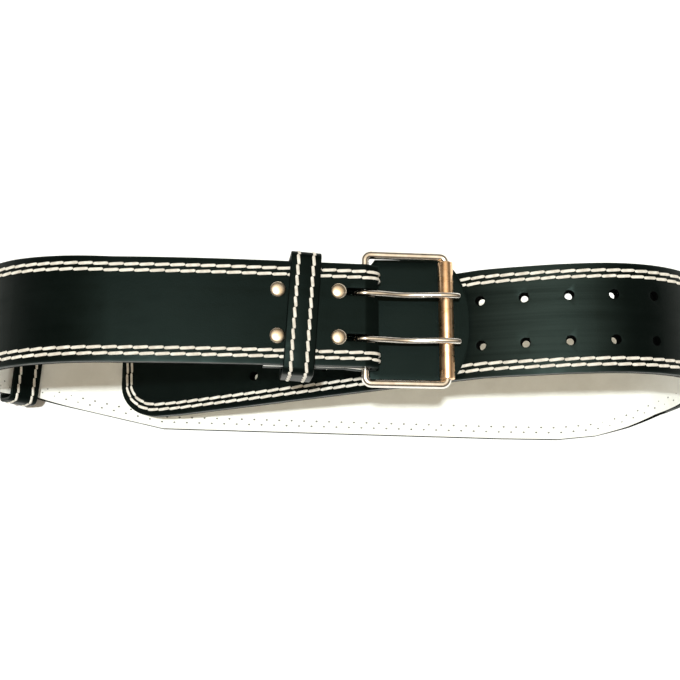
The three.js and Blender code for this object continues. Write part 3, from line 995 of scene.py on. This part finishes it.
def cells(material, place, scale):
    """Pebbles of leather grain, as the distance from each pebble's middle."""
    node = material.node_tree.nodes.new("ShaderNodeTexVoronoi")
    node.feature = "F1"
    node.inputs["Scale"].default_value = scale
    wire_up(material, place, node.inputs["Vector"])
    return node.outputs["Distance"]


def spread(material, value, low, high, to_low=0, to_high=1):
    """A number moved from one range to another."""
    node = material.node_tree.nodes.new("ShaderNodeMapRange")
    node.inputs["From Min"].default_value = low
    node.inputs["From Max"].default_value = high
    node.inputs["To Min"].default_value = to_low
    node.inputs["To Max"].default_value = to_high
    wire_up(material, value, node.inputs["Value"])
    return node.outputs["Result"]


def combine(material, operation, first, second):
    node = material.node_tree.nodes.new("ShaderNodeMath")
    node.operation = operation
    for value, socket in ((first, node.inputs[0]), (second, node.inputs[1])):
        if isinstance(value, (int, float)):
            socket.default_value = value
        else:
            wire_up(material, value, socket)
    return node.outputs["Value"]


def two_tones(material, share, dark, light):
    """A colour between two, by a number from 0 to 1."""
    node = material.node_tree.nodes.new("ShaderNodeMix")
    node.data_type = "RGBA"
    wire_up(material, share, node.inputs["Factor"])
    colours = [socket for socket in node.inputs if socket.type == "RGBA"]
    for socket, colour in zip(colours, (dark, light)):
        if isinstance(colour, tuple):
            socket.default_value = (*colour, 1)
        else:
            wire_up(material, colour, socket)
    return [socket for socket in node.outputs if socket.type == "RGBA"][0]


def noted(material, name):
    """A number noted on each point of a piece."""
    node = material.node_tree.nodes.new("ShaderNodeAttribute")
    node.attribute_name = name
    return node.outputs["Fac"]


def paint(material, surface, pattern, tones):
    """Colours a surface between two tones, by a cloudy pattern drawn out to its full contrast."""
    tone = spread(material, pattern, *CLOUDS)
    wire_up(material, two_tones(material, tone, *tones), surface.inputs["Base Color"])


def relief(material, surface, height, depth, strength):
    """Small bumps on the surface, depth in metres."""
    node = material.node_tree.nodes.new("ShaderNodeBump")
    node.inputs["Strength"].default_value = strength
    node.inputs["Distance"].default_value = depth
    wire_up(material, height, node.inputs["Height"])
    wire_up(material, node.outputs["Normal"], surface.inputs["Normal"])


def leather_finish(name, wear_and_sheen):
    """Black bridle leather: fine pebbles and a slow drift of tone.

    Worn leather, whose points carry notes, has a lighter edge, part wear and part painted sheen,
    and a painted sheen, lighter and streaked, near the holes in use.
    """
    material, surface, place = blank_finish(name)
    drift = noise(material, place, scale=16, detail=5, roughness=0.6)
    along = stretch(material, place, LEATHER_STREAKS)
    streaks = noise(material, along, scale=1, detail=3, roughness=0.6)
    tone = spread(material, drift, *CLOUDS)
    colour = two_tones(material, tone, *LEATHER_TONES)
    if wear_and_sheen:
        # Painted sheen: a lighter leather colour, streaked, on the stretch near the holes in use.
        brushed = spread(material, streaks, low=0.35, high=0.65, to_low=0.45)
        brushed = combine(material, "MULTIPLY", noted(material, "painted_sheen"), brushed)
        colour = two_tones(material, brushed, colour, PAINTED_SHEEN_LEATHER)
        # The edge's lighter colour is partly edge wear and partly painted sheen.
        rubbed = spread(material, noted(material, "edge"), low=0.965, high=1)
        patches = spread(material, drift, low=0.25, high=0.75, to_low=0.2)
        rubbed = combine(material, "MULTIPLY", rubbed, patches)
        colour = two_tones(material, rubbed, colour, EDGE_WEAR_AND_SHEEN)
    wire_up(material, colour, surface.inputs["Base Color"])
    shine = noise(material, place, scale=60, detail=4, roughness=0.6)
    shine = combine(material, "ADD", combine(material, "MULTIPLY", shine, 0.5),
                    combine(material, "MULTIPLY", streaks, 0.5))
    rough = spread(material, shine, low=0.38, high=0.62, to_low=0.3, to_high=0.46)
    wire_up(material, rough, surface.inputs["Roughness"])
    pebbles = cells(material, place, scale=1400)
    fine = noise(material, place, scale=3200, detail=3, roughness=0.6)
    height = combine(material, "ADD", pebbles, combine(material, "MULTIPLY", fine, 0.5))
    relief(material, surface, height, depth=0.0001, strength=0.4)
    surface.inputs["Specular IOR Level"].default_value = 0.07
    surface.inputs["Specular Tint"].default_value = (*LEATHER_SHEEN, 1)
    return material


def cut_and_shade_finish():
    """Cut and pressed leather edges, black with dye and dull; on the lining, painted shade."""
    material, surface, place = blank_finish("cut leather and painted shade")
    paint(material, surface, noise(material, place, scale=300, detail=3), CUT_AND_SHADE_TONES)
    surface.inputs["Roughness"].default_value = 0.9
    surface.inputs["Specular IOR Level"].default_value = 0.03
    return material


def suede_finish():
    """White suede: a soft nap with brushed patches."""
    material, surface, place = blank_finish("white suede")
    brushed = noise(material, place, scale=45, detail=6, roughness=0.65)
    paint(material, surface, brushed, SUEDE_TONES)
    surface.inputs["Roughness"].default_value = 0.95
    surface.inputs["Sheen Weight"].default_value = 0.4
    surface.inputs["Sheen Roughness"].default_value = 0.5
    nap = noise(material, place, scale=1600, detail=6, roughness=0.7)
    relief(material, surface, nap, depth=0.0004, strength=0.7)
    return material


def thread_finish():
    """Cream waxed thread, with the twist of its strands."""
    material, surface, place = blank_finish("cream thread")
    paint(material, surface, noise(material, place, scale=300, detail=3), THREAD_TONES)
    surface.inputs["Roughness"].default_value = 0.65
    twist = noise(material, place, scale=2500)
    relief(material, surface, twist, depth=0.0003, strength=0.6)
    return material


def mark_finish():
    """The dark grey dimples of the needle marks."""
    material, surface, place = blank_finish("needle mark")
    paint(material, surface, noise(material, place, scale=400, detail=2), MARK_TONES)
    surface.inputs["Roughness"].default_value = 0.95
    return material


def metal_finish(name, tones, roughness):
    """Warm plated metal with faint scuffs."""
    material, surface, place = blank_finish(name)
    scuffs = noise(material, place, scale=220, detail=5, roughness=0.6)
    paint(material, surface, scuffs, tones)
    rough = spread(material, scuffs, *CLOUDS, roughness, roughness + SCUFF_ROUGHNESS)
    wire_up(material, rough, surface.inputs["Roughness"])
    surface.inputs["Metallic"].default_value = 1
    waves = noise(material, place, scale=900, detail=3)
    relief(material, surface, waves, depth=0.00005, strength=0.3)
    return material


def dress(piece, material, body, slot, *nodes):
    """Gives a finished piece its material and body, hides the solids it stands for; slot is unused.
    """
    piece.data.materials.clear()
    piece.data.materials.append(material)
    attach(piece, body)
    if nodes:
        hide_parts(*nodes)


# Stage, light and camera


def make_floor():
    floor = add(bpy.ops.mesh.primitive_plane_add, size=FLOOR_SIZE, location=(0, 0, 0))
    floor.name = "floor"
    material, surface, place = blank_finish("white paper")
    tone = noise(material, place, scale=3, detail=2)
    wire_up(material, two_tones(material, tone, *PAPER_TONES), surface.inputs["Base Color"])
    surface.inputs["Roughness"].default_value = 0.9
    floor.data.materials.append(material)


def add_key_light():
    """The key light: like a flash far above the lens and a little to its left."""
    light = bpy.data.lights.new("key", "SUN")
    light.angle = radians(KEY_SPREAD)
    light.energy = KEY_STRENGTH
    light.color = KEY_COLOUR
    lamp = bpy.data.objects.new("key", light)
    bpy.context.collection.objects.link(lamp)
    lamp.location = KEY_DIRECTION
    lamp.rotation_euler = KEY_DIRECTION.to_track_quat("Z", "Y").to_euler()


def add_room():
    """A room with a warm pale ceiling, dim walls and a pale horizon, shown with plain contrast."""
    bpy.context.scene.view_settings.view_transform = "Standard"
    room = bpy.data.worlds.new("pale room")
    bpy.context.scene.world = room
    room.use_nodes = True
    nodes = room.node_tree.nodes
    apart = nodes.new("ShaderNodeSeparateXYZ")
    wire_up(room, nodes.new("ShaderNodeTexCoord").outputs["Generated"], apart.inputs["Vector"])
    ceiling = spread(room, apart.outputs["Z"], *CEILING_HEIGHTS)
    walls = spread(room, apart.outputs["Z"], *WALL_HEIGHTS)
    colour = two_tones(room, ceiling, ROOM_SIDES, ROOM_OVERHEAD)
    colour = two_tones(room, walls, ROOM_HORIZON, colour)
    wire_up(room, colour, nodes["Background"].inputs["Color"])


def set_camera():
    angle = radians(CAMERA_ELEVATION)
    lens = bpy.data.cameras.new("camera")
    lens.sensor_width = SENSOR
    lens.lens = FOCAL_PIXELS / FRAME_PIXELS * SENSOR
    camera = bpy.data.objects.new("camera", lens)
    bpy.context.collection.objects.link(camera)
    camera.location = CAMERA_TARGET + CAMERA_DISTANCE * Vector((0, -cos(angle), sin(angle)))
    camera.rotation_euler = (pi / 2 - angle, 0, 0)
    bpy.context.scene.camera = camera


# The belt


black = leather_finish("black leather", wear_and_sheen=True)
keeper_black = leather_finish("keeper leather", wear_and_sheen=False)
cut_edge_and_shade = cut_and_shade_finish()
suede = suede_finish()
thread = thread_finish()
marks = mark_finish()
nickel = metal_finish("warm nickel", NICKEL_TONES, roughness=0.14)
rivet_nickel = metal_finish("rivet nickel", RIVET_TONES, roughness=0.2)
rubbed_nickel = metal_finish("rubbed nickel", RUBBED_NICKEL_TONES, roughness=0.24)

loop = loop_line("loop_line", belt_path)
leather, dull_faces = belt_leather(loop)
dress(leather, black, "belt", "black_leather", "belt_leather")
dye_and_shade_faces(leather, dull_faces, cut_edge_and_shade)
lining, lining_shade_faces = belt_lining(loop)
dress(lining, suede, "belt", "white_suede", "belt_lining")
# The lining's edges and hole walls are painted near-black, as shade.
dye_and_shade_faces(lining, lining_shade_faces, cut_edge_and_shade)
dress(belt_stitching(loop), thread, "belt", "black_leather")
dress(needle_marks(loop), marks, "belt", "white_suede")
clear_away(loop)

dress(buckle_flap(), black, "belt", "black_leather", "buckle_flap")
for (band, row), node in ((front_keeper(), "keeper_front"), (rear_keeper(), "keeper_rear")):
    dress(band, keeper_black, "belt", "black_leather", node)
    dress(row, thread, "belt", "black_leather")

for place_name, from_bar in (("outer", RIVET_FAR), ("inner", RIVET_NEAR)):
    for side_name, side in SIDES:
        stud = rivet("stud_" + side_name + "_" + place_name, from_bar, side)
        dress(stud, rivet_nickel, "belt", "nickel", "rivet_" + side_name + "_" + place_name)

buckle_axes = buckle_place()
dress(settle(smooth(buckle_frame()), buckle_axes), nickel, "frame", "nickel", "buckle_frame")
dress(settle(smooth(roller()), buckle_axes), rubbed_nickel, "roller", "nickel", "buckle_roller")
for side_name, side in SIDES:
    tongue = settle(smooth(prong("tongue_" + side_name, side)), buckle_axes)
    dress(tongue, nickel, "prong_" + side_name, "nickel", "prong_" + side_name)

make_floor()
add_key_light()
add_room()
set_camera()
